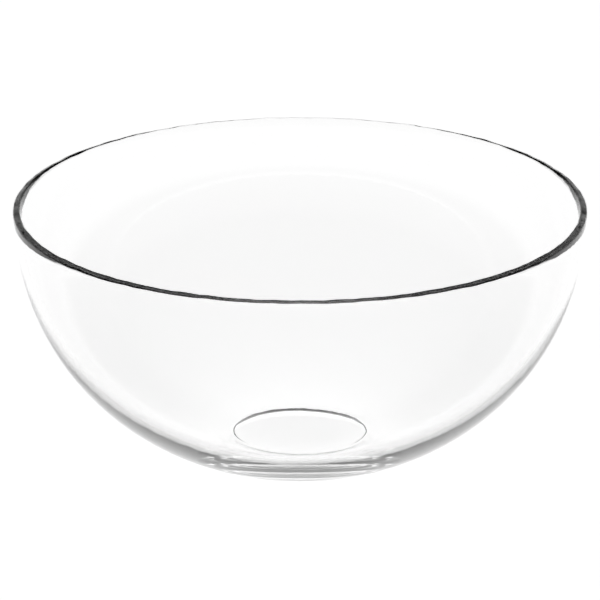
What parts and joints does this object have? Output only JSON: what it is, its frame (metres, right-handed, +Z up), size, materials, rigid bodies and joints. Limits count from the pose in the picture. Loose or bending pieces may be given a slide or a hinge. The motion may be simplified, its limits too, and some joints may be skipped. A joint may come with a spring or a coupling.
{
  "type": "glass bowl",
  "caption": "Round-bottomed clear glass bowl with a smooth rim and a shallow recess under a narrow foot ring, for holding or evaporating liquids.",
  "frame": {"origin": "centre of the foot ring, on the surface that the bowl stands on", "axes": "+Z up along the bowl's axis; the bowl is round, so X and Y are any two level directions"},
  "size_m": [0.2, 0.2, 0.0924],
  "materials": {
    "clear_glass": "polished"
  },
  "bodies": {
    "root": {"glass_bowl": "clear_glass"}
  },
  "joints": []
}
